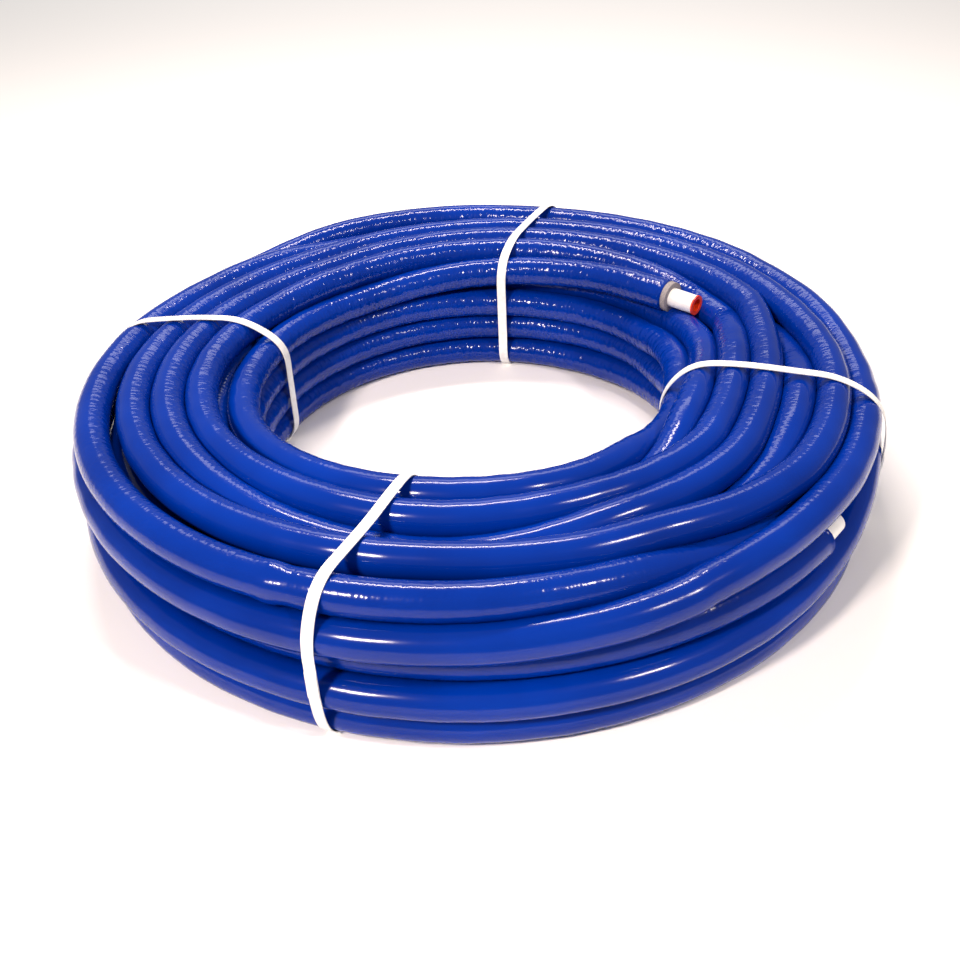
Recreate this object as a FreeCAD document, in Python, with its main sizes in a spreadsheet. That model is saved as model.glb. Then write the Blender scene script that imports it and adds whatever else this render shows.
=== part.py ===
import FreeCAD, Part
import math
import os
import Sketcher

# An insulated multilayer water pipe wound into a coil that lies flat on the floor.
# The wound turns are one turned solid; one free turn lies on its inner edge and lifts
# off to the upper pipe end. Four flat bands are welded round the section of the coil.
# Z is up, the coil turns about Z and its underside is at z = 0.
# Azimuths are counted from the front (-Y) anticlockwise, seen from above.

SIZES = [
    ("coil_od", 768.0),          # outer diameter of the wound coil
    ("turn_od", 33.0),           # pipe, foam and film jacket together
    ("turns_per_row", 4.0),      # turns in a full row, without the inner stack
    ("pack_across", 0.985),      # spacing of neighbouring turns in a row, in turn diameters
    ("pack_up", 0.86),           # height from row to row, in turn diameters
    ("stack_step", 0.9),         # inner stack's distance from the rows, in turn diameters
    ("floor_press", 0.8),        # how far the lowest turns are pressed flat
    ("pipe_od", 20.0),           # bare multilayer pipe
    ("pipe_wall", 2.0),
    ("film_wall", 0.5),          # film jacket with its slack
    ("foam_length", 30.0),       # foam seen at the cut end
    ("foam_proud", 1.6),         # foam standing out of the cut film
    ("bare_length", 28.5),       # bare pipe beyond the foam
    ("lower_length", 46.0),      # bare pipe of the lower end
    ("lower_root", 16.0),        # its part inside the coil
    ("cap_rim_od", 21.0),        # end cap of the upper pipe end
    ("cap_rim_thick", 1.5),
    ("cap_depth", 14.0),
    ("cap_wall", 1.2),
    ("strap_width", 9.0),        # flat plastic band
    ("strap_thick", 0.7),
    ("strap_gap", 0.3),          # between a band and the turns it holds
    ("lap_length", 34.0),        # welded overlap of a band
    ("fit_gap", 0.1),            # between pieces pushed into each other
    ("free_out", 0.51),          # free turn beyond the inner stack, in turn diameters
    ("free_up", 0.78),           # free turn above the top of the inner stack, in turn diameters
    ("tail_out", 5.0),           # cut end beyond the free turn's own radius
    ("tail_azimuth", 120.5),
    ("tail_flare", 17.0),        # angle by which the cut end leaves the round
    ("dive_azimuth", 108.0),     # where the free turn comes up out of the coil
    ("lower_in", 3.5),           # axis of the lower pipe end inside the outermost turns' radius
    ("lower_up", 11.0),          # and above the third row
    ("lower_azimuth", 49.5),
    ("front_azimuth", 342.0),    # the four bands
    ("left_azimuth", 253.0),
    ("back_azimuth", 170.5),
    ("right_azimuth", 75.0),
]

os.makedirs("parts", exist_ok=True)
doc = FreeCAD.newDocument("pipe_coil")
sheet = doc.addObject("Spreadsheet::Sheet", "sizes")
for row, (alias, number) in enumerate(SIZES, start=1):
    sheet.set("A%d" % row, alias)
    sheet.set("B%d" % row, str(number))
    sheet.setAlias("B%d" % row, alias)
doc.recompute()


def value(alias):
    return float(getattr(sheet, alias))


def plane(body, role):
    for feature in body.Origin.OriginFeatures:
        if feature.Role == role:
            return feature
    raise RuntimeError("no plane " + role)


def around(azimuth, radius, height):
    turn = math.radians(azimuth)
    return FreeCAD.Vector(radius * math.sin(turn), -radius * math.cos(turn), height)


def bind(target, name, text):
    target.setExpression(name, text)


# ---------------------------------------------------------------- section of the coil
# Every turn of the outline has its place twice: in words of the sheet and in millimetres.
TURN_R = "sizes.turn_od / 2"
OUT_R = "sizes.coil_od / 2 - sizes.turn_od / 2"
LOW_Z = "sizes.turn_od / 2 - sizes.floor_press"
turn_r = value("turn_od") / 2
out_r = value("coil_od") / 2 - turn_r
low_z = turn_r - value("floor_press")
across_step = value("turn_od") * value("pack_across")
row_step = value("turn_od") * value("pack_up")
per_row = int(round(value("turns_per_row")))


def row_turn(row, number):
    # rows 0, 2 and 4 are set in by half a pitch; number 0 is the outermost turn
    inset = number + (0.5 if row % 2 == 0 else 0.0)
    words = (
        "%s - %s * sizes.turn_od * sizes.pack_across" % (OUT_R, inset),
        "%s + %d * sizes.turn_od * sizes.pack_up" % (LOW_Z, row),
    )
    place = (out_r - inset * across_step, low_z + row * row_step)
    return words, place


def stack_turn(number):
    words, place = row_turn(0, per_row - 1)
    words = (
        words[0] + " - sizes.stack_step * sizes.turn_od",
        "%s + %d * sizes.turn_od * sizes.pack_across" % (LOW_Z, number),
    )
    radius = place[0] - value("stack_step") * value("turn_od")
    return words, (radius, low_z + number * across_step)


def free_turn_place():
    words, place = stack_turn(2)
    words = (
        words[0] + " + sizes.free_out * sizes.turn_od",
        words[1] + " + sizes.free_up * sizes.turn_od",
    )
    radius = place[0] + value("free_out") * value("turn_od")
    return words, (radius, place[1] + value("free_up") * value("turn_od"))


outline = [row_turn(0, number) for number in range(per_row)]
outline += [stack_turn(number) for number in range(3)]
ledge_start = len(outline) - 1
outline += [row_turn(3, per_row - 1)]
outline += [row_turn(4, number) for number in range(per_row - 2, -1, -1)]
outline += [row_turn(3, 0), row_turn(2, 0), row_turn(1, 0)]


def meeting(here, there):
    # the two circles' crossing point that lies outside the coil, going clockwise
    gap_r = there[0] - here[0]
    gap_z = there[1] - here[1]
    apart = math.hypot(gap_r, gap_z)
    if apart >= 2 * turn_r:
        raise RuntimeError("neighbouring turns of the outline do not touch")
    rise = math.sqrt(turn_r ** 2 - (apart / 2) ** 2)
    middle = (here[0] + gap_r / 2, here[1] + gap_z / 2)
    return middle[0] - gap_z / apart * rise, middle[1] + gap_r / apart * rise


def angle_at(center, point):
    return math.atan2(point[1] - center[1], point[0] - center[0])


# The ledge under the free turn is a straight line between two turns of the outline.
LEDGE_FROM = math.radians(45.0)
LEDGE_TO = math.radians(190.0)


def round_point(center, angle):
    return center[0] + turn_r * math.cos(angle), center[1] + turn_r * math.sin(angle)


count = len(outline)
starts = []
ends = []
for index in range(count):
    here = outline[index][1]
    before = outline[index - 1][1]
    after = outline[(index + 1) % count][1]
    if index - 1 == ledge_start:
        starts.append(round_point(here, LEDGE_TO))
    else:
        starts.append(meeting(before, here))
    if index == ledge_start:
        ends.append(round_point(here, LEDGE_FROM))
    else:
        ends.append(meeting(here, after))

body = doc.addObject("PartDesign::Body", "coil_body")
section = body.newObject("Sketcher::SketchObject", "coil_section")
section.AttachmentSupport = [(plane(body, "XZ_Plane"), "")]
section.MapMode = "FlatFace"
axis = FreeCAD.Vector(0, 0, 1)
for index in range(count):
    center = outline[index][1]
    # going round clockwise, an arc runs backwards from its end to its start
    first = angle_at(center, ends[index])
    last = angle_at(center, starts[index])
    while last <= first:
        last += 2 * math.pi
    circle = Part.Circle(FreeCAD.Vector(center[0], center[1], 0), axis, turn_r)
    section.addGeometry(Part.ArcOfCircle(circle, first, last), False)
ledge_line = section.addGeometry(
    Part.LineSegment(
        FreeCAD.Vector(ends[ledge_start][0], ends[ledge_start][1], 0),
        FreeCAD.Vector(starts[ledge_start + 1][0], starts[ledge_start + 1][1], 0),
    ),
    False,
)
for index in range(count):
    if index == ledge_start:
        section.addConstraint(Sketcher.Constraint("Coincident", index, 1, ledge_line, 1))
        section.addConstraint(Sketcher.Constraint("Coincident", ledge_line, 2, index + 1, 2))
    else:
        section.addConstraint(Sketcher.Constraint("Coincident", index, 1, (index + 1) % count, 2))
radius_lock = section.addConstraint(Sketcher.Constraint("Radius", 0, turn_r))
section.renameConstraint(radius_lock, "turn_radius")
bind(section, "Constraints.turn_radius", TURN_R)
for index in range(1, count):
    section.addConstraint(Sketcher.Constraint("Equal", 0, index))
for index in range(count):
    words, place = outline[index]
    across = section.addConstraint(Sketcher.Constraint("DistanceX", -1, 1, index, 3, place[0]))
    section.renameConstraint(across, "turn_%d_radius" % index)
    bind(section, "Constraints.turn_%d_radius" % index, words[0])
    up = section.addConstraint(Sketcher.Constraint("DistanceY", -1, 1, index, 3, place[1]))
    section.renameConstraint(up, "turn_%d_height" % index)
    bind(section, "Constraints.turn_%d_height" % index, words[1])
wound = body.newObject("PartDesign::Revolution", "wound_turns")
wound.Profile = section
wound.ReferenceAxis = (section, ["V_Axis"])
wound.Angle = 360.0
body.Tip = wound
doc.recompute()

# ---------------------------------------------------------------- free turn and its tail
TAIL_FROM = 166.0       # azimuth where the free turn starts to lift
STATION_STEP = 6.0
free_words, free_place = free_turn_place()
tail_radius = free_place[0] + value("tail_out")
# the cap on the cut end just clears the turn under it
tail_height = row_turn(3, per_row - 1)[1][1] + turn_r + value("cap_rim_od") / 2


def free_point(azimuth):
    # azimuth falls from the dive (first) to the cut end (last)
    last = value("tail_azimuth") - 360.0
    flare = math.radians(value("tail_flare"))
    nearest = tail_radius * math.cos(flare)
    straight_from = last + value("tail_flare")
    radius, height = free_place
    lift_from = TAIL_FROM - 360.0
    if azimuth < lift_from:
        part = min(1.0, (lift_from - azimuth) / (lift_from - last - 6.0))
        smooth = part * part * (3 - 2 * part)
        height += (tail_height - height) * smooth
        radius += (nearest - radius) * smooth
    if azimuth < straight_from:
        radius = nearest / math.cos(math.radians(straight_from - azimuth))
    dive = value("dive_azimuth")
    if azimuth > dive - 30.0:
        part = (azimuth - (dive - 30.0)) / 30.0
        smooth = part * part * (3 - 2 * part)
        deep = outline[ledge_start + 1][1]
        radius += (deep[0] - radius) * smooth
        height += (deep[1] - height) * smooth
    return around(azimuth, radius, height)


first_azimuth = value("dive_azimuth")
last_azimuth = value("tail_azimuth") - 360.0
steps = int(round((first_azimuth - last_azimuth) / STATION_STEP))
stations = []
for step in range(steps + 1):
    azimuth = first_azimuth + (last_azimuth - first_azimuth) * step / steps
    stations.append(free_point(azimuth))
curve = Part.BSplineCurve()
curve.interpolate(stations)
path = doc.addObject("Part::Feature", "free_turn_path")
path.Shape = curve.toShape()
# the pipe and the foam carry on along the cut end's own direction
tail_end = stations[-1]
tail_way = curve.tangent(curve.LastParameter)[0]
tail_turn = FreeCAD.Rotation(FreeCAD.Vector(0, 0, 1), tail_way)
start_way = curve.tangent(curve.FirstParameter)[0]

ring = doc.addObject("Part::Circle", "free_turn_round")
bind(ring, "Radius", TURN_R)
ring.Placement = FreeCAD.Placement(stations[0], FreeCAD.Rotation(FreeCAD.Vector(0, 0, 1), start_way))
doc.recompute()
free_turn = doc.addObject("Part::Sweep", "free_turn")
free_turn.Sections = [ring]
free_turn.Spine = (path, ["Edge1"])
free_turn.Solid = True
free_turn.Frenet = False
doc.recompute()


def cylinder(name, radius_words, length_words, start, turn):
    made = doc.addObject("Part::Cylinder", name)
    bind(made, "Radius", radius_words)
    bind(made, "Height", length_words)
    made.Placement = FreeCAD.Placement(start, turn)
    return made


def cut(name, base, tool):
    made = doc.addObject("Part::Cut", name)
    made.Base = base
    made.Tool = tool
    return made


def along(start, way, distance):
    return start + way * distance


foam_root = along(tail_end, tail_way, value("foam_proud") - value("foam_length"))
foam_seat = cylinder(
    "foam_seat", "sizes.turn_od / 2 - sizes.film_wall", "sizes.foam_length", foam_root, tail_turn
)

# ---------------------------------------------------------------- lower pipe end
# it points anticlockwise and lies in a hollow of the third row
lower_radius = out_r - value("lower_in")
lower_height = row_turn(2, 0)[1][1] + value("lower_up")
lower_middle = around(value("lower_azimuth"), lower_radius, lower_height)
lower_bend = math.radians(value("lower_azimuth"))
lower_way = FreeCAD.Vector(math.cos(lower_bend), math.sin(lower_bend), 0)
lower_turn = FreeCAD.Rotation(FreeCAD.Vector(0, 0, 1), lower_way)
lower_start = along(lower_middle, lower_way, -value("lower_length") / 2)
hollow_start = along(lower_start, lower_way, value("lower_root"))
lower_seat = cylinder(
    "lower_seat", "sizes.pipe_od / 2", "sizes.lower_length", lower_start, lower_turn
)
lower_hollow = cylinder(
    "lower_hollow",
    "sizes.pipe_od / 2 + 1",
    "sizes.lower_length - sizes.lower_root + 8",
    hollow_start,
    lower_turn,
)

# ---------------------------------------------------------------- floor
under = doc.addObject("Part::Box", "under_floor")
under.Length = 1200
under.Width = 1200
under.Height = 20
under.Placement = FreeCAD.Placement(FreeCAD.Vector(-600, -600, -20), FreeCAD.Rotation())

# ---------------------------------------------------------------- foam, pipe ends and cap
foam_outside = cylinder(
    "foam_outside",
    "sizes.turn_od / 2 - sizes.film_wall - sizes.fit_gap",
    "sizes.foam_length",
    foam_root,
    tail_turn,
)
foam_bore = cylinder(
    "foam_bore", "sizes.pipe_od / 2 + sizes.fit_gap", "sizes.foam_length", foam_root, tail_turn
)
foam = cut("foam_end", foam_outside, foam_bore)

upper_outside = cylinder(
    "upper_outside", "sizes.pipe_od / 2", "sizes.foam_length + sizes.bare_length", foam_root, tail_turn
)
upper_bore = cylinder(
    "upper_bore",
    "sizes.pipe_od / 2 - sizes.pipe_wall",
    "sizes.foam_length + sizes.bare_length",
    foam_root,
    tail_turn,
)
upper = cut("pipe_end_upper", upper_outside, upper_bore)

lower_outside = cylinder(
    "lower_outside",
    "sizes.pipe_od / 2 - sizes.fit_gap",
    "sizes.lower_length",
    lower_start,
    lower_turn,
)
lower_bore = cylinder(
    "lower_bore",
    "sizes.pipe_od / 2 - sizes.pipe_wall",
    "sizes.lower_length",
    lower_start,
    lower_turn,
)
lower = cut("pipe_end_lower", lower_outside, lower_bore)

pipe_tip = along(foam_root, tail_way, value("foam_length") + value("bare_length"))
plug_start = along(pipe_tip, tail_way, -value("cap_depth"))
cap_rim = cylinder("cap_rim", "sizes.cap_rim_od / 2", "sizes.cap_rim_thick", pipe_tip, tail_turn)
cap_plug = cylinder(
    "cap_plug",
    "sizes.pipe_od / 2 - sizes.pipe_wall - sizes.fit_gap",
    "sizes.cap_depth",
    plug_start,
    tail_turn,
)
cap_solid = doc.addObject("Part::MultiFuse", "cap_solid")
cap_solid.Shapes = [cap_rim, cap_plug]
cap_cup = cylinder(
    "cap_cup",
    "sizes.pipe_od / 2 - sizes.pipe_wall - sizes.fit_gap - sizes.cap_wall",
    "sizes.cap_depth + sizes.cap_rim_thick",
    along(plug_start, tail_way, value("cap_wall")),
    tail_turn,
)
cap = cut("end_cap", cap_solid, cap_cup)

# ---------------------------------------------------------------- the four bands
# a band follows the outermost turns of the section; its inside is their hull
hull_low = "sizes.turn_od / 2 + sizes.strap_gap + sizes.strap_thick"
hull_low_z = turn_r + value("strap_gap") + value("strap_thick")
top_inner = row_turn(4, per_row - 2)
top_outer = row_turn(4, 0)
hull = [
    ((stack_turn(0)[0][0], hull_low), (stack_turn(0)[1][0], hull_low_z)),
    stack_turn(2),
    (free_words, free_place),
    top_inner,
    top_outer,
    row_turn(3, 0),
    row_turn(1, 0),
    ((row_turn(0, 0)[0][0], hull_low), (row_turn(0, 0)[1][0], hull_low_z)),
]
band_body = doc.addObject("PartDesign::Body", "band_body")
band_line = band_body.newObject("Sketcher::SketchObject", "band_line")
band_line.AttachmentSupport = [(plane(band_body, "XZ_Plane"), "")]
band_line.MapMode = "FlatFace"


def add_loop(sketch, name, offset, offset_words):
    # a closed line of straights and arcs at one distance outside the hull's corners
    corners = len(hull)
    normals = []
    for index in range(corners):
        here = hull[index][1]
        after = hull[(index + 1) % corners][1]
        length = math.hypot(after[0] - here[0], after[1] - here[1])
        normals.append((-(after[1] - here[1]) / length, (after[0] - here[0]) / length))
    arcs = []
    lines = []
    for index in range(corners):
        center = hull[index][1]
        normal_in = normals[index - 1]
        normal_out = normals[index]
        first = math.atan2(normal_out[1], normal_out[0])
        last = math.atan2(normal_in[1], normal_in[0])
        while last <= first:
            last += 2 * math.pi
        circle = Part.Circle(FreeCAD.Vector(center[0], center[1], 0), axis, offset)
        arcs.append(sketch.addGeometry(Part.ArcOfCircle(circle, first, last), False))
    for index in range(corners):
        here = hull[index][1]
        after = hull[(index + 1) % corners][1]
        out = normals[index]
        start = FreeCAD.Vector(here[0] + out[0] * offset, here[1] + out[1] * offset, 0)
        stop = FreeCAD.Vector(after[0] + out[0] * offset, after[1] + out[1] * offset, 0)
        lines.append(sketch.addGeometry(Part.LineSegment(start, stop), False))
    for index in range(corners):
        following = arcs[(index + 1) % corners]
        sketch.addConstraint(Sketcher.Constraint("Tangent", arcs[index], 1, lines[index], 1))
        sketch.addConstraint(Sketcher.Constraint("Tangent", lines[index], 2, following, 2))
    round_name = name + "_round"
    lock = sketch.addConstraint(Sketcher.Constraint("Radius", arcs[0], offset))
    sketch.renameConstraint(lock, round_name)
    bind(sketch, "Constraints." + round_name, offset_words)
    for index in range(1, corners):
        sketch.addConstraint(Sketcher.Constraint("Equal", arcs[0], arcs[index]))
    for index in range(corners):
        words, place = hull[index]
        for kind, number in (("DistanceX", 0), ("DistanceY", 1)):
            lock = sketch.addConstraint(
                Sketcher.Constraint(kind, -1, 1, arcs[index], 3, place[number])
            )
            lock_name = "%s_%d_%s" % (name, index, ("radius", "height")[number])
            sketch.renameConstraint(lock, lock_name)
            bind(sketch, "Constraints." + lock_name, words[number])


inside = turn_r + value("strap_gap")
INSIDE_WORDS = "sizes.turn_od / 2 + sizes.strap_gap"
add_loop(band_line, "outside", inside + value("strap_thick"), INSIDE_WORDS + " + sizes.strap_thick")
add_loop(band_line, "inside", inside, INSIDE_WORDS)
band = band_body.newObject("PartDesign::Pad", "band_loop")
band.Profile = band_line
bind(band, "Length", "sizes.strap_width")
band.SideType = "Symmetric"
band_body.Tip = band
doc.recompute()

lap = doc.addObject("Part::Box", "band_lap")
bind(lap, "Length", "2 * sizes.strap_thick")
bind(lap, "Width", "sizes.strap_width")
bind(lap, "Height", "sizes.lap_length")
bind(lap, "Placement.Base.x", "sizes.coil_od / 2 + sizes.strap_gap")
bind(lap, "Placement.Base.y", "-sizes.strap_width / 2")
bind(lap, "Placement.Base.z", LOW_Z + " + 2 * sizes.turn_od * sizes.pack_up - sizes.lap_length / 2")
doc.recompute()

# inside each band's width the coil is pressed in to the band's own inner line
fill_body = doc.addObject("PartDesign::Body", "band_fill")
fill_line = fill_body.newObject("Sketcher::SketchObject", "band_fill_line")
fill_line.AttachmentSupport = [(plane(fill_body, "XZ_Plane"), "")]
fill_line.MapMode = "FlatFace"
add_loop(fill_line, "inside", inside, INSIDE_WORDS)
fill = fill_body.newObject("PartDesign::Pad", "band_fill_pad")
fill.Profile = fill_line
bind(fill, "Length", "sizes.strap_width + 4 * sizes.strap_gap")
fill.SideType = "Symmetric"
fill_body.Tip = fill
slab = doc.addObject("Part::Box", "band_slab")
bind(slab, "Length", "sizes.coil_od")
bind(slab, "Width", "sizes.strap_width + 2 * sizes.strap_gap")
bind(slab, "Height", "3 * sizes.turn_od")
bind(slab, "Placement.Base.x", "5")
bind(slab, "Placement.Base.y", "-sizes.strap_width / 2 - sizes.strap_gap")
bind(slab, "Placement.Base.z", "-1.5 * sizes.turn_od")
doc.recompute()
AZIMUTHS = ["front_azimuth", "left_azimuth", "back_azimuth", "right_azimuth"]
channels = []
for alias in AZIMUTHS:
    channel = doc.addObject("Part::Cut", alias.replace("azimuth", "channel"))
    channel.Base = slab
    channel.Tool = fill_body
    turn = FreeCAD.Rotation(FreeCAD.Vector(0, 0, 1), value(alias) - 90.0)
    channel.Placement = FreeCAD.Placement(FreeCAD.Vector(0, 0, 0), turn)
    channels.append(channel)

# ---------------------------------------------------------------- the coil itself
taken = doc.addObject("Part::MultiFuse", "taken_away")
taken.Shapes = [foam_seat, lower_seat, lower_hollow, under] + channels
whole = doc.addObject("Part::MultiFuse", "turns_and_free_turn")
whole.Shapes = [body, free_turn]
doc.recompute()
coil = cut("pipe_coil", whole, taken)

straps = []
for alias in AZIMUTHS:
    name = "strap_" + alias.replace("_azimuth", "")
    strap = doc.addObject("Part::MultiFuse", name)
    strap.Shapes = [band_body, lap]
    turn = FreeCAD.Rotation(FreeCAD.Vector(0, 0, 1), value(alias) - 90.0)
    strap.Placement = FreeCAD.Placement(FreeCAD.Vector(0, 0, 0), turn)
    straps.append(strap)

doc.recompute()
nodes = [coil, foam, upper, cap, lower] + straps
for thing in doc.Objects:
    for word in thing.State:
        if word in ("Invalid", "Error"):
            raise RuntimeError(thing.Name + " is " + word)
for node in nodes:
    node.Label = node.Name
    if node.Shape.isNull() or not node.Shape.isValid():
        raise RuntimeError(node.Name + " has no valid shape")
    if len(node.Shape.Solids) != 1:
        raise RuntimeError("%s has %d solids" % (node.Name, len(node.Shape.Solids)))
    node.Shape.exportStep("parts/%s.step" % node.Name)
    box = node.Shape.BoundBox
    print(
        "%-15s volume %.0f  x %.1f..%.1f  y %.1f..%.1f  z %.2f..%.2f"
        % (node.Name, node.Shape.Volume, box.XMin, box.XMax, box.YMin, box.YMax, box.ZMin, box.ZMax)
    )
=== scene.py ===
import math

import bpy
import numpy as np
from mathutils import Matrix, Vector


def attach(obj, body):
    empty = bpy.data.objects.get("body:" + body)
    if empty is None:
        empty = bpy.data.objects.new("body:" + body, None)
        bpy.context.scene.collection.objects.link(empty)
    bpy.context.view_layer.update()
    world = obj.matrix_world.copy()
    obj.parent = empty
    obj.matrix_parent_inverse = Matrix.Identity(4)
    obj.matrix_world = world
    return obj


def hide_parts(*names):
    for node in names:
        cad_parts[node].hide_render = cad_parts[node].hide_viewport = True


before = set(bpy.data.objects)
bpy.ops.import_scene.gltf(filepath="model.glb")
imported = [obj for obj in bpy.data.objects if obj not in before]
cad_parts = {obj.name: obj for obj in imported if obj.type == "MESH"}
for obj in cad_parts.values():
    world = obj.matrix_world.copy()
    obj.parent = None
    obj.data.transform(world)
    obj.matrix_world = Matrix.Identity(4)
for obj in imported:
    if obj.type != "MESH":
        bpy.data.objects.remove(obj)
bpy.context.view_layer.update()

MM = 0.001

# ------------------------------------------------------------------ sizes, millimetres
TUBE_R = 15.6            # insulated pipe with its film jacket
TUBE_APART = 30.2        # closest that two centrelines come: the foam gives a little
COIL_OUT = 384.0
COIL_TOP = 146.0
COIL_IN = 182.0          # the turns crowd into the eye on the right side
SIDE_TUCK = 7.0          # how far in the top turns lie at the coil's left and right
TOP_ROW_Z = 115.0        # turns above this height are top turns
STATIONS = 320           # cross-sections round the coil
SIDES = 24               # vertices round a tube
TAIL_AZ = 120.5          # free end of the insulated pipe
TAIL_FLARE = 17.0
TAIL_LEAST = 235.12      # nearest distance of the straight tail to the coil's axis
TAIL_Z = 127.8
LOWER_AZ = 49.5          # bare lower pipe end
LOWER_R = 364.0
LOWER_Z = 83.5
# azimuth of each band at the coil's eye and at its outer side
STRAP_AZ = {
    "front": (345.5, 340.5),
    "left": (247.0, 259.0),
    "back": (172.5, 163.5),
    "right": (78.0, 72.5),
}
STRAP_WIDE = 9.6
STRAP_THICK = 0.8
STRAP_OFF = 0.35
BEND_REACH = 9           # points, about 2 mm apart, on each side of a bend in a band
LAP_Z = 66.0             # welded overlap of each band, on the coil's outer side
LAP_LONG = 26.0
LAP_DEPTH = 12.0         # the lap lies this near the coil's outer side
SMOOTHINGS = 5           # the pipe is stiff: it bends over several stations
PUSHES = 3               # times that touching turns are parted after each smoothing
PUSH_SHARE = 0.6         # part of an overlap that one push takes away
TINY = 1e-6
TAIL_HELD = 24.0         # degrees of each pipe end that are held in place
LOWER_HELD = 12.0
UPPER_PIPE_AZ = 108.0    # the bare upper pipe reaches from here to the tail's end
UPPER_PIPE_R = 256.0
UPPER_PIPE_ROOM = 11.0   # room round the axis of a bare pipe end
LOWER_PIPE_ROOM = 10.6
LOWER_PIPE_SPAN = 6.0
SWAY = 1.6               # how far a hidden turn wanders
SWAY_KEYS = 12
BACK_SHIFT = 7.0         # hidden turns give way to the inner stack at the back
RIGHT_SHIFT = 16.0       # and spread towards the eye on the right
STACK_WIDE = 130.0
RIPPLES = 5              # faint unevenness of a turn
RIPPLE_DEEP = 0.10
TAIL_SWELL = 1.0         # the free end isn't squeezed, so it is thicker
SPLICE_WIDE = 1.3        # degrees
SPLICE_BULGE = 1.1
SPLICE_DIP = 0.8
SEAM_R = 0.3             # metres: turn radius used where a closed turn's UV meets itself
rng = np.random.default_rng(7)


def spot(azimuth, radius, height):
    a = math.radians(azimuth)
    return Vector((radius * math.sin(a), -radius * math.cos(a), height)) * MM


# ------------------------------------------------------------------ how the pipe is wound
# A strand is a list of (azimuth, radius, height) keys. A closed strand repeats every turn.
TAIL_KEYS = [(TAIL_AZ + step, TAIL_LEAST / math.cos(math.radians(TAIL_FLARE - step)), TAIL_Z)
             for step in (0.0, 5.0, 10.0, 15.0)]
INNER = TAIL_KEYS + [
    (148, 236, 123), (163, 238, 117), (180, 240, 112), (225, 234, 110), (250, 228, 100),
    (270, 226, 103), (315, 222, 120), (360, 222, 129), (385, 215, 122), (410, 203, 110),
    (435, 194, 104), (460, 212, 100), (480, 230, 90), (500, 236, 84), (540, 238, 80),
    (630, 226, 76), (720, 221, 96), (750, 212, 90), (790, 196, 74), (830, 222, 58),
    (860, 236, 50), (900, 239, 48), (990, 226, 46), (1080, 221, 64), (1110, 212, 58),
    (1155, 198, 42), (1195, 226, 26), (1225, 238, 17), (1260, 241, 16), (1350, 226, 17),
    (1420, 224, 29), (1440, 224, 30), (1455, 227, 27), (1475, 238, 20), (1500, 250, 16),
    (1530, 247, 16), (1560, 250, 16), (1620, 268, 16), (1680, 268, 16), (1740, 262, 16),
    (1800, 257, 16), (1815, 257, 16),
]
LOWER = [
    (LOWER_AZ - 1.0, LOWER_R, LOWER_Z), (LOWER_AZ - 6.0, LOWER_R - 0.6, LOWER_Z),
    (LOWER_AZ - 18.0, 359, 77), (15, 353, 73), (0, 351, 72), (-45, 351, 73), (-90, 350, 70),
    (-135, 338, 73), (-180, 336, 74), (-225, 336, 74), (-270, 339, 75), (-290, 338, 76),
]
# turns that show on top and outside, each keyed at azimuths round the coil
T2 = [(0, 260, 129), (22, 255, 130), (45, 246, 130), (75, 239, 124), (100, 256, 124),
      (120, 276, 126), (140, 276, 128), (180, 262, 129), (225, 252, 125), (253, 260, 121),
      (285, 262, 124), (315, 262, 129)]
A = [(0, 284, 106), (22, 283, 119), (45, 277, 129), (75, 267, 130), (100, 286, 131), (120, 304, 130),
     (180, 291, 130), (205, 282, 130), (235, 281, 129), (270, 292, 129), (305, 290, 127), (335, 286, 115)]
T3 = [(0, 306, 131), (22, 318, 131), (45, 329, 131), (75, 331, 129), (120, 331, 130),
      (180, 320, 130), (205, 310, 131), (235, 310, 131), (270, 324, 131), (305, 319, 130), (335, 310, 131)]
T4 = [(0, 352, 128), (18, 346, 122), (36, 341, 112), (55, 340, 104), (80, 338, 100),
      (135, 342, 101), (170, 338, 102), (192, 338, 112), (212, 338, 128), (235, 341, 130), (255, 354, 130),
      (275, 360, 128), (315, 359, 130), (345, 354, 129)]
T5 = [(0, 367, 104), (18, 368, 111), (36, 366, 120), (55, 361, 125), (80, 357, 122),
      (120, 357, 129), (170, 358, 130), (192, 365, 128), (212, 367, 127), (235, 368, 121), (255, 368, 108),
      (275, 368, 98), (315, 368, 98), (345, 368, 100)]
LOWEST = [(0, 361, 16), (45, 361, 16), (90, 357, 16), (180, 354, 16), (270, 357, 16), (315, 361, 16)]
OUTER = [(0, 367, 44), (30, 367.5, 45), (50, 368, 49), (62, 368, 64), (75, 367, 88), (95, 367, 96),
         (130, 368, 92), (180, 368, 84), (225, 368, 66), (250, 367, 52), (315, 367, 44)]
B = [(0, 303, 99), (22, 290, 96), (45, 270, 100), (75, 255, 102), (120, 275, 98), (180, 292, 101),
     (270, 290, 101), (315, 300, 100)]
C = [(0, 334, 100), (22, 318, 100), (45, 310, 118), (75, 313, 129), (100, 313, 117), (130, 318, 101),
     (180, 322, 101), (225, 316, 100), (270, 332, 101), (315, 335, 101)]
D = [(0, 246, 100), (25, 238, 108), (50, 221, 118), (75, 217, 119), (95, 236, 112), (120, 250, 98),
     (180, 263, 99), (270, 258, 91), (315, 250, 96)]
E = [(0, 289, 73), (30, 287, 84), (55, 289, 112), (75, 291, 126), (95, 289, 110), (125, 296, 78),
     (180, 302, 73), (225, 302, 73), (270, 294, 73)]


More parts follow.
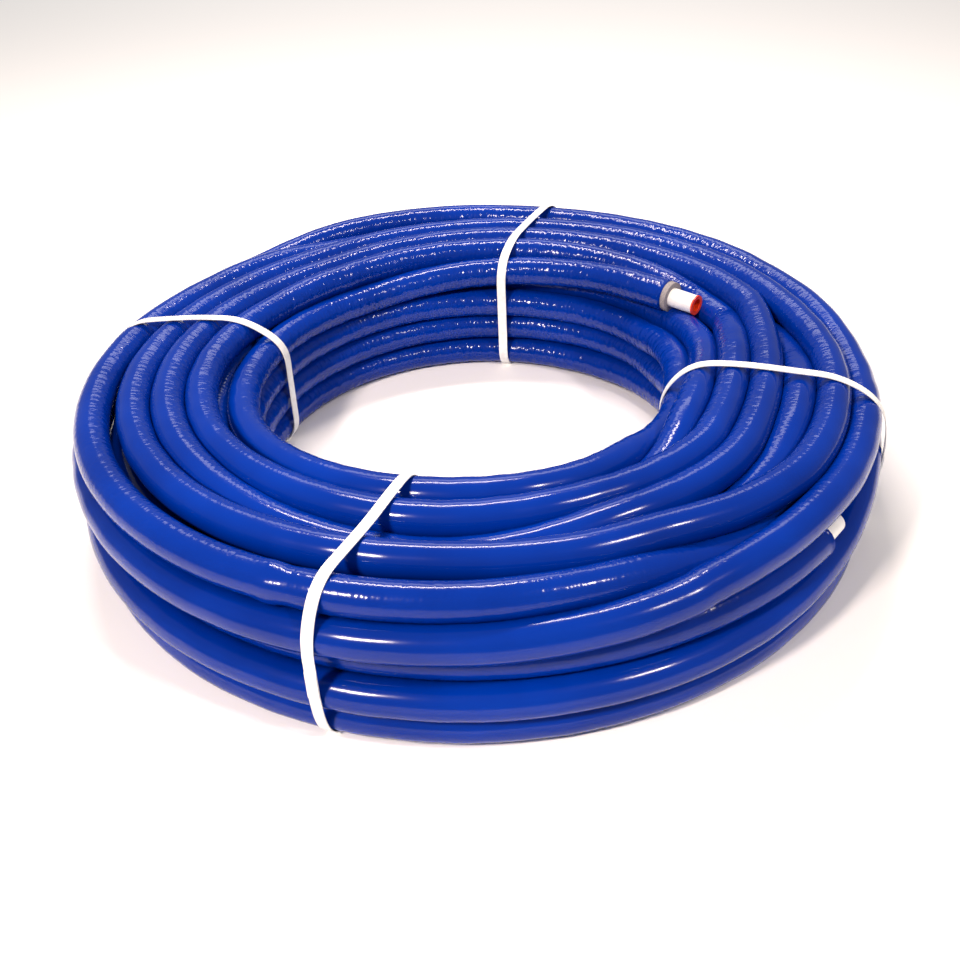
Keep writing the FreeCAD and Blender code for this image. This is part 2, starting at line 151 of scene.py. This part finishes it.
def level(radius, height):
    # a hidden turn: it wanders a little, gives way to the inner stack at the back
    # and spreads towards the eye on the right
    sway = rng.normal(0.0, SWAY, size=(SWAY_KEYS, 2))
    keys = []
    for i in range(SWAY_KEYS):
        degrees = 360 // SWAY_KEYS * i
        azimuth = math.radians(degrees)
        inner = (COIL_OUT - radius) / STACK_WIDE
        moved = BACK_SHIFT * (1 - math.cos(azimuth)) * inner
        moved -= RIGHT_SHIFT * max(0, math.sin(azimuth)) ** 4 * inner
        keys.append((degrees, radius + moved + sway[i, 0], height + sway[i, 1]))
    return keys


closed = [T2, A, T3, T4, T5, B, C, D, E, OUTER, LOWEST]
closed += [level(r, 16) for r in (290, 324)]
closed += [level(r, 44) for r in (272, 304, 336)]
closed += [level(257, 73)]


def smooth_keys(keys, wanted, loops):
    # Catmull-Rom through the keys, at the wanted azimuths
    keys = sorted(keys)
    if loops:
        keys = [(a - 360, r, z) for a, r, z in keys] + keys + [(a + 360, r, z) for a, r, z in keys]
    at = np.array([k[0] for k in keys], float)
    to = np.array([k[1:] for k in keys], float)
    slope = np.gradient(to, at, axis=0)
    i = np.clip(np.searchsorted(at, wanted, side="right") - 1, 0, len(at) - 2)
    step = (at[i + 1] - at[i])[:, None]
    t = ((wanted - at[i])[:, None]) / step
    a, b = to[i], to[i + 1]
    sa, sb = slope[i] * step, slope[i + 1] * step
    return ((2 * t**3 - 3 * t**2 + 1) * a + (t**3 - 2 * t**2 + t) * sa
            + (3 * t**2 - 2 * t**3) * b + (t**3 - t**2) * sb)


# Every strand is cut into stations; station s lies at azimuth s * 360 / STATIONS.
STEP = 360.0 / STATIONS
strands = []
for keys, loops in [(INNER, False), (LOWER, False)] + [(k, True) for k in closed]:
    if loops:
        ids = np.arange(STATIONS)
    else:
        low, high = min(k[0] for k in keys), max(k[0] for k in keys)
        ids = np.arange(math.ceil(low / STEP), math.floor(high / STEP) + 1)
    places = smooth_keys(keys, ids * STEP, loops)
    strands.append({"ids": ids, "at": places, "aim": places.copy(), "loops": loops})

all_at = np.concatenate([s["at"] for s in strands])
all_aim = all_at.copy()
all_station = np.concatenate([s["ids"] % STATIONS for s in strands])
ends = np.cumsum([0] + [len(s["ids"]) for s in strands])
layer = np.argsort(all_station, kind="stable")
most = np.bincount(all_station, minlength=STATIONS).max()
table = np.full((STATIONS, most), -1)
fill = np.zeros(STATIONS, int)
for index in layer:
    st = all_station[index]
    table[st, fill[st]] = index
    fill[st] += 1
present = table >= 0
fixed = np.zeros(len(all_at), bool)
tail_ids = strands[0]["ids"] * STEP < TAIL_AZ + TAIL_HELD
fixed[ends[0]:ends[1]][tail_ids] = True
low_ids = strands[1]["ids"] * STEP > LOWER_AZ - LOWER_HELD
fixed[ends[1]:ends[2]][low_ids] = True
# the bare pipe ends take up room too
pipe_spots = []
for azimuth in np.arange(UPPER_PIPE_AZ, TAIL_AZ, STEP):
    station = int(round(azimuth / STEP))
    pipe_spots.append((station, UPPER_PIPE_R, TAIL_Z, UPPER_PIPE_ROOM + TUBE_R))
for azimuth in np.arange(LOWER_AZ - 1.0, LOWER_AZ + LOWER_PIPE_SPAN, STEP):
    station = int(round(azimuth / STEP))
    pipe_spots.append((station, LOWER_R, LOWER_Z, LOWER_PIPE_ROOM + TUBE_R))

# the top turns lie a little further in at the coil's left and right
outer_limit = (COIL_OUT - TUBE_R - SIDE_TUCK * np.sin(np.radians(all_station * STEP)) ** 2
               * (all_aim[:, 1] > TOP_ROW_Z))


def settle(rounds, hold, ease):
    """Pushes turns apart, keeps them in the coil's outline and smooths them along the pipe."""
    global all_at
    for _ in range(rounds):
        all_at += (all_aim - all_at) * hold * (~fixed)[:, None]
        for _ in range(SMOOTHINGS):
            for number, strand in enumerate(strands):
                part = all_at[ends[number]:ends[number + 1]]
                if strand["loops"]:
                    mean = (np.roll(part, 1, 0) + np.roll(part, -1, 0)) / 2
                else:
                    mean = part.copy()
                    mean[1:-1] = (part[:-2] + part[2:]) / 2
                keep = fixed[ends[number]:ends[number + 1]][:, None]
                part += (mean - part) * ease * ~keep
        for _ in range(PUSHES):
            here = all_at[np.maximum(table, 0)]
            gap = here[:, :, None, :] - here[:, None, :, :]
            apart = np.linalg.norm(gap, axis=-1)
            pair = present[:, :, None] & present[:, None, :]
            near = pair & (apart < TUBE_APART) & (apart > TINY)
            push = np.where(near, (TUBE_APART - apart) / 2, 0.0)
            move = (gap / np.maximum(apart, TINY)[..., None] * push[..., None]).sum(axis=2) * PUSH_SHARE
            flat = np.zeros_like(all_at)
            flat[table[present]] = move[present]
            all_at += flat * (~fixed)[:, None]
            for station, radius, height, reach in pipe_spots:
                row = table[station % STATIONS]
                row = row[row >= 0]
                away = all_at[row] - (radius, height)
                far = np.linalg.norm(away, axis=1)
                shift = np.where((far < reach) & ~fixed[row], reach - far, 0.0)
                all_at[row] += away / np.maximum(far, TINY)[:, None] * shift[:, None]
            free = ~fixed
            all_at[free, 0] = np.clip(all_at[free, 0], COIL_IN + TUBE_R, outer_limit[free])
            all_at[free, 1] = np.clip(all_at[free, 1], TUBE_R + 0.3, COIL_TOP - TUBE_R)


settle(80, 0.05, 0.5)
settle(80, 0.01, 0.5)
settle(10, 0.0, 0.2)
for number, strand in enumerate(strands):
    strand["at"] = all_at[ends[number]:ends[number + 1]]


# ------------------------------------------------------------------ meshes
def make_mesh(name, verts, faces, uv=None, smooth=True):
    mesh = bpy.data.meshes.new(name)
    mesh.from_pydata([tuple(v) for v in verts], [], faces)
    mesh.update()
    if uv is not None:
        lay = mesh.uv_layers.new(name="along")
        loops = np.array([l.vertex_index for l in mesh.loops])
        lay.data.foreach_set("uv", uv(loops, mesh).ravel())
    mesh.polygons.foreach_set("use_smooth", [smooth] * len(mesh.polygons))
    obj = bpy.data.objects.new(name, mesh)
    bpy.context.scene.collection.objects.link(obj)
    return obj


END_TURN = "inner_turns_and_free_end"
SPLICED_TURN = "turn_with_film_splice"
SPLICE_AZ = 334.5        # where the film of that turn is joined and puckered


def tube(name, strand):
    """A tube along a strand.

    UV x is metres along the pipe, UV y goes once round it from the coil's eye.
    """
    ids, at = strand["ids"], strand["at"]
    az = np.radians(ids * STEP)
    r, z = at[:, 0], at[:, 1]
    path = np.stack([r * np.sin(az), -r * np.cos(az), z], 1) * MM
    loops = strand["loops"]
    count = len(path)
    if loops:
        way = np.roll(path, -1, 0) - np.roll(path, 1, 0)
    else:
        way = np.gradient(path, axis=0)
    way /= np.linalg.norm(way, axis=1)[:, None]
    inward = np.stack([-np.sin(az), np.cos(az), np.zeros(count)], 1)
    inward -= way * (inward * way).sum(1)[:, None]
    inward /= np.linalg.norm(inward, axis=1)[:, None]
    upward = np.cross(way, inward)
    upward *= np.sign(upward[:, 2])[:, None]
    long = np.concatenate([[0], np.cumsum(np.linalg.norm(np.diff(path, axis=0), axis=1))])
    ring = np.arange(SIDES) * 2 * math.pi / SIDES
    ripple = np.zeros((count, SIDES))
    for _ in range(RIPPLES):
        waves = rng.integers(9, 60)
        phase, twist = rng.uniform(0, 6.28, 2)
        ripple += RIPPLE_DEEP * np.sin(waves * az[:, None] + phase) * np.cos(ring[None] + twist)
    swell = np.zeros(count)
    if name == END_TURN:
        swell = TAIL_SWELL * np.clip(2.2 - (ids * STEP - TAIL_AZ) / 10, 0, 1)
    if name == SPLICED_TURN:
        off = (ids * STEP - SPLICE_AZ) / SPLICE_WIDE
        ripple += SPLICE_BULGE * np.exp(-off**2)[:, None] * (1 + 0.7 * np.sin(5 * ring + 1))[None]
        ripple -= SPLICE_DIP * np.exp(-(off - 1.6)**2)[:, None]
    rad = (TUBE_R + swell[:, None] + ripple) * MM
    cosine, sine = np.cos(ring)[None, :, None], np.sin(ring)[None, :, None]
    verts = path[:, None] + rad[..., None] * (inward[:, None] * cosine + upward[:, None] * sine)
    verts = verts.reshape(-1, 3)
    faces = []
    spans = count if loops else count - 1
    for i in range(spans):
        j = (i + 1) % count
        for k in range(SIDES):
            m = (k + 1) % SIDES
            faces.append((i * SIDES + k, j * SIDES + k, j * SIDES + m, i * SIDES + m))
    if not loops:
        faces.append(tuple(range(SIDES - 1, -1, -1)))
        faces.append(tuple(range((count - 1) * SIDES, count * SIDES)))
    total = long[-1]

    def uv(loop_verts, mesh):
        i, k = loop_verts // SIDES, loop_verts % SIDES
        u, v = long[i], k / SIDES
        quads = spans * SIDES
        if loops:
            last = np.arange(len(u)) // 4 >= (spans - 1) * SIDES
            u = np.where(last & (i == 0), total + STEP / 180 * math.pi * SEAM_R, u)
        side = (np.arange(len(v)) // 4) % SIDES == SIDES - 1
        v = np.where(side & (k == 0) & (np.arange(len(v)) < quads * 4), 1.0, v)
        return np.stack([u, v], 1)

    obj = make_mesh(name, verts, faces, uv)
    if signed_volume(verts, faces) < 0:
        obj.data.flip_normals()
    return obj


def signed_volume(verts, faces):
    quads = np.array([f for f in faces if len(f) == 4])
    a, b, c, d = (verts[quads[:, n]] for n in range(4))
    one = np.einsum("ij,ij->i", a, np.cross(b, c)).sum()
    two = np.einsum("ij,ij->i", a, np.cross(c, d)).sum()
    return one + two


# ------------------------------------------------------------------ materials
def new_material(name):
    mat = bpy.data.materials.new(name)
    mat.use_nodes = True
    nodes, links = mat.node_tree.nodes, mat.node_tree.links
    shader = nodes["Principled BSDF"]
    return mat, nodes, links, shader


FILM_DARK = (0.000, 0.018, 0.205, 1)
FILM_LIGHT = (0.000, 0.029, 0.30, 1)
FILM_ROUGH = (0.10, 0.20)
CRIMPS_ALONG = 190.0     # cross wrinkles per metre of pipe
CRIMPS_ROUND = 7.0
CRIMP_DEEP = 0.0016      # metres


def film_material(name, least_wrinkle):
    mat, nodes, links, shader = new_material(name)
    uv = nodes.new("ShaderNodeUVMap")
    uv.uv_map = "along"
    split = nodes.new("ShaderNodeSeparateXYZ")
    links.new(uv.outputs[0], split.inputs[0])
    # colour: slow cloudiness along the pipe
    where = nodes.new("ShaderNodeTexCoord")
    cloud = nodes.new("ShaderNodeTexNoise")
    cloud.inputs["Scale"].default_value = 9.0
    cloud.inputs["Detail"].default_value = 3.0
    links.new(where.outputs["Object"], cloud.inputs["Vector"])
    tint = nodes.new("ShaderNodeValToRGB")
    tint.color_ramp.elements[0].position = 0.3
    tint.color_ramp.elements[0].color = FILM_DARK
    tint.color_ramp.elements[1].position = 0.75
    tint.color_ramp.elements[1].color = FILM_LIGHT
    links.new(cloud.outputs["Fac"], tint.inputs["Fac"])
    links.new(tint.outputs["Color"], shader.inputs["Base Color"])
    # fine cross wrinkles on the side that faces the coil's eye
    squeeze = nodes.new("ShaderNodeCombineXYZ")
    along = nodes.new("ShaderNodeMath")
    along.operation = "MULTIPLY"
    along.inputs[1].default_value = CRIMPS_ALONG
    links.new(split.outputs["X"], along.inputs[0])
    across = nodes.new("ShaderNodeMath")
    across.operation = "MULTIPLY"
    across.inputs[1].default_value = CRIMPS_ROUND
    links.new(split.outputs["Y"], across.inputs[0])
    links.new(along.outputs[0], squeeze.inputs["X"])
    links.new(across.outputs[0], squeeze.inputs["Y"])
    crimp = nodes.new("ShaderNodeTexNoise")
    crimp.inputs["Scale"].default_value = 1.0
    crimp.inputs["Detail"].default_value = 1.2
    crimp.inputs["Roughness"].default_value = 0.55
    links.new(squeeze.outputs[0], crimp.inputs["Vector"])
    turn = nodes.new("ShaderNodeMath")
    turn.operation = "MULTIPLY"
    turn.inputs[1].default_value = 2 * math.pi
    links.new(split.outputs["Y"], turn.inputs[0])
    face = nodes.new("ShaderNodeMath")
    face.operation = "COSINE"
    links.new(turn.outputs[0], face.inputs[0])
    span = nodes.new("ShaderNodeMapRange")
    span.inputs["From Min"].default_value = -0.25
    span.inputs["From Max"].default_value = 0.75
    span.inputs["To Min"].default_value = least_wrinkle
    span.inputs["To Max"].default_value = 1.0
    links.new(face.outputs[0], span.inputs["Value"])
    bump = nodes.new("ShaderNodeBump")
    bump.inputs["Distance"].default_value = CRIMP_DEEP
    links.new(span.outputs[0], bump.inputs["Strength"])
    links.new(crimp.outputs["Fac"], bump.inputs["Height"])
    links.new(bump.outputs["Normal"], shader.inputs["Normal"])
    # roughness: rubbed patches
    rub = nodes.new("ShaderNodeTexNoise")
    rub.inputs["Scale"].default_value = 30.0
    rub.inputs["Detail"].default_value = 4.0
    links.new(where.outputs["Object"], rub.inputs["Vector"])
    rough = nodes.new("ShaderNodeMapRange")
    rough.inputs["To Min"].default_value = FILM_ROUGH[0]
    rough.inputs["To Max"].default_value = FILM_ROUGH[1]
    links.new(rub.outputs["Fac"], rough.inputs["Value"])
    links.new(rough.outputs[0], shader.inputs["Roughness"])
    shader.inputs["IOR"].default_value = 1.5
    shader.inputs["Specular IOR Level"].default_value = 0.25
    return mat


def plain_material(name, low, high, rough_low, rough_high, scale, bump_mm):
    mat, nodes, links, shader = new_material(name)
    where = nodes.new("ShaderNodeTexCoord")
    noise = nodes.new("ShaderNodeTexNoise")
    noise.inputs["Scale"].default_value = scale
    noise.inputs["Detail"].default_value = 5.0
    links.new(where.outputs["Object"], noise.inputs["Vector"])
    ramp = nodes.new("ShaderNodeValToRGB")
    ramp.color_ramp.elements[0].position = 0.3
    ramp.color_ramp.elements[0].color = (*low, 1)
    ramp.color_ramp.elements[1].position = 0.7
    ramp.color_ramp.elements[1].color = (*high, 1)
    links.new(noise.outputs["Fac"], ramp.inputs["Fac"])
    links.new(ramp.outputs["Color"], shader.inputs["Base Color"])
    rough = nodes.new("ShaderNodeMapRange")
    rough.inputs["To Min"].default_value = rough_low
    rough.inputs["To Max"].default_value = rough_high
    links.new(noise.outputs["Fac"], rough.inputs["Value"])
    links.new(rough.outputs[0], shader.inputs["Roughness"])
    bump = nodes.new("ShaderNodeBump")
    bump.inputs["Distance"].default_value = bump_mm * MM
    bump.inputs["Strength"].default_value = 0.6
    links.new(noise.outputs["Fac"], bump.inputs["Height"])
    links.new(bump.outputs["Normal"], shader.inputs["Normal"])
    return mat


film = film_material("blue_film", 0.02)
loose_film = film_material("blue_film_wrinkled", 0.22)
foam = plain_material("grey_foam", (0.19, 0.17, 0.18), (0.34, 0.31, 0.32), 0.75, 0.95, 900, 0.4)
white = plain_material("white_pipe", (0.80, 0.80, 0.79), (0.88, 0.88, 0.87), 0.28, 0.42, 120, 0.05)
red = plain_material("red_cap", (0.80, 0.035, 0.004), (0.95, 0.07, 0.012), 0.30, 0.48, 160, 0.08)
band = plain_material("white_band", (0.72, 0.73, 0.72), (0.84, 0.85, 0.84), 0.30, 0.5, 220, 0.05)

# ------------------------------------------------------------------ the wound pipe
LOWER_TURN = "outer_turn_with_lower_end"
OPEN_STRANDS = 2         # INNER and LOWER come before the closed turns
names = {0: END_TURN, 1: LOWER_TURN, OPEN_STRANDS + closed.index(T4): SPLICED_TURN}
LOOSE = (SPLICED_TURN, LOWER_TURN)
for number, strand in enumerate(strands):
    name = names.get(number, "turn_%02d" % number)
    made = tube(name, strand)
    made.data.materials.append(loose_film if name in LOOSE else film)
    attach(made, "root")
    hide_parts("pipe_coil")


# ------------------------------------------------------------------ the four bands
def hull(points):
    points = sorted(set(map(tuple, points)))

    def half(seq):
        out = []
        for p in seq:
            while len(out) > 1 and ((out[-1][0] - out[-2][0]) * (p[1] - out[-2][1])
                                    - (out[-1][1] - out[-2][1]) * (p[0] - out[-2][0])) <= 0:
                out.pop()
            out.append(p)
        return out

    low, high = half(points), half(points[::-1])
    return np.array(low[:-1] + high[:-1])


def outward(line):
    out = np.roll(line, -1, 0) - np.roll(line, 1, 0)
    out = np.stack([out[:, 1], -out[:, 0]], 1)
    return out / np.linalg.norm(out, axis=1)[:, None]


def rounded(line):
    """A stiff band doesn't fold over a turn: each bend spreads along it, and it stands off a little."""
    def mean(values, reach):
        return sum(np.roll(values, n, 0) for n in range(-reach, reach + 1)) / (2 * reach + 1)

    soft = mean(line, BEND_REACH)
    lost = np.linalg.norm(line - soft, axis=1)
    lost = np.max([np.roll(lost, n) for n in range(-2 * BEND_REACH, 2 * BEND_REACH + 1)], axis=0)
    soft = soft + outward(soft) * mean(lost, 2 * BEND_REACH)[:, None]
    soft[:, 1] = np.maximum(soft[:, 1], STRAP_THICK + FLOOR_GAP)
    return soft


RING_POINTS = 48         # round each turn, for the band's line
LINE_STEP = 2            # millimetres between a band's points
FLOOR_GAP = 0.02


def strap(name, azimuth_in, azimuth_out):
    middle = (azimuth_in + azimuth_out) / 2
    row = table[int(round(middle / STEP)) % STATIONS]
    centres = all_at[row[row >= 0]]
    ring = np.linspace(0, 2 * math.pi, RING_POINTS + 1)[:-1]
    reach = TUBE_R + STRAP_OFF
    cloud = (centres[:, None] + reach * np.stack([np.cos(ring), np.sin(ring)], 1)).reshape(-1, 2)
    cloud[:, 1] = np.maximum(cloud[:, 1], STRAP_THICK + FLOOR_GAP)
    corners = hull(np.round(cloud, 4))
    # points every few millimetres, so that the band can lean over its width
    line = []
    for here, there in zip(corners, np.roll(corners, -1, 0)):
        parts = max(1, int(np.linalg.norm(there - here) // LINE_STEP))
        line += [here + (there - here) * n / parts for n in range(parts)]
    line = rounded(np.array(line))
    out = outward(line)
    lapped = (line[:, 0] > COIL_OUT - LAP_DEPTH) & (abs(line[:, 1] - LAP_Z) < LAP_LONG / 2)
    outer = line + out * (STRAP_THICK * (1 + lapped))[:, None]
    outer[:, 1] = np.maximum(outer[:, 1], 0.0)

    def place(loop, half):
        part = np.clip((loop[:, 0] - COIL_IN) / (COIL_OUT - COIL_IN), 0, 1)
        a = np.radians(azimuth_in + (azimuth_out - azimuth_in) * part)
        radial = np.stack([np.sin(a), -np.cos(a), 0 * a], 1)
        side = np.stack([np.cos(a), np.sin(a), 0 * a], 1)
        up = np.array([0, 0, 1.0])
        return loop[:, :1] * radial + loop[:, 1:] * up + side * half * STRAP_WIDE / 2

    verts = [place(loop, half) for loop, half in ((line, -1), (line, 1), (outer, 1), (outer, -1))]
    count = len(line)
    verts = np.concatenate(verts) * MM
    faces = []
    for ring_no in range(4):
        nxt = (ring_no + 1) % 4
        for i in range(count):
            j = (i + 1) % count
            faces.append((ring_no * count + i, ring_no * count + j, nxt * count + j, nxt * count + i))
    obj = make_mesh("band_" + name, verts, faces, smooth=False)
    if signed_volume(verts, faces) < 0:
        obj.data.flip_normals()
    obj.data.materials.append(band)
    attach(obj, "root")
    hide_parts("strap_" + name)


for strap_name, (azimuth_in, azimuth_out) in STRAP_AZ.items():
    strap(strap_name, azimuth_in, azimuth_out)

# ------------------------------------------------------------------ pieces kept from the frame
for node, mat in (("foam_end", foam), ("pipe_end_upper", white), ("pipe_end_lower", white),
                  ("end_cap", red)):
    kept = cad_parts[node]
    kept.data.materials.clear()
    kept.data.materials.append(mat)

# ------------------------------------------------------------------ floor, light and camera
FLOOR = 6.0
FLOOR_GREY = 0.92
WORLD_STRENGTH = 0.30
floor_mesh = bpy.data.meshes.new("floor")
floor_corners = [(x * FLOOR, y * FLOOR, 0) for x, y in ((-1, -1), (1, -1), (1, 1), (-1, 1))]
floor_mesh.from_pydata(floor_corners, [], [(0, 1, 2, 3)])
floor = bpy.data.objects.new("floor", floor_mesh)
bpy.context.scene.collection.objects.link(floor)
floor_mat, nodes, links, shader = new_material("pale_floor")
shader.inputs["Base Color"].default_value = (FLOOR_GREY, FLOOR_GREY, FLOOR_GREY, 1)
shader.inputs["Roughness"].default_value = 0.7
floor_mesh.materials.append(floor_mat)

world = bpy.data.worlds.new("studio")
bpy.context.scene.world = world
world.use_nodes = True
world.node_tree.nodes["Background"].inputs["Color"].default_value = (1, 1, 1, 1)
world.node_tree.nodes["Background"].inputs["Strength"].default_value = WORLD_STRENGTH


def lamp(name, where, aim, size, power, colour):
    data = bpy.data.lights.new(name, "AREA")
    data.shape = "RECTANGLE"
    data.size, data.size_y = size
    data.energy = power
    data.color = colour
    obj = bpy.data.objects.new(name, data)
    bpy.context.scene.collection.objects.link(obj)
    obj.location = where
    obj.rotation_euler = (Vector(aim) - Vector(where)).to_track_quat("-Z", "Y").to_euler()


lamp("top_strip", (-0.15, 0.75, 1.75), (0, -0.1, 0.1), (0.9, 0.16), 32, (1.0, 0.86, 0.78))
lamp("far_floor", (0, 3.6, 3.0), (0, 3.2, 0), (3.0, 1.5), 60, (1.0, 0.97, 0.94))
lamp("front_left", (-1.1, -1.5, 1.7), (0, 0.1, 0.05), (0.3, 0.3), 62, (1.0, 0.84, 0.74))
lamp("front_right", (1.3, -1.2, 1.9), (0, 0.1, 0.05), (0.25, 0.25), 26, (1.0, 0.86, 0.76))
bpy.context.scene.view_settings.view_transform = "Standard"

DISTANCE = 1.14747
ELEVATION = 0.6003
ROLL = 0.0436
camera_data = bpy.data.cameras.new("camera")
camera_data.sensor_width = 36.0
camera_data.lens = 41.56
camera_data.shift_x = 0.0005
camera_data.shift_y = -0.0095
camera_data.clip_start = 0.05
camera_data.clip_end = 50
camera = bpy.data.objects.new("camera", camera_data)
bpy.context.scene.collection.objects.link(camera)
back = Vector((0, -math.cos(ELEVATION), math.sin(ELEVATION)))
right0, up0 = Vector((1, 0, 0)), Vector((0, math.sin(ELEVATION), math.cos(ELEVATION)))
right = right0 * math.cos(ROLL) - up0 * math.sin(ROLL)
up = right0 * math.sin(ROLL) + up0 * math.cos(ROLL)
turned = Matrix((right, up, back)).transposed().to_4x4()
turned.translation = back * DISTANCE
camera.matrix_world = turned
bpy.context.scene.camera = camera
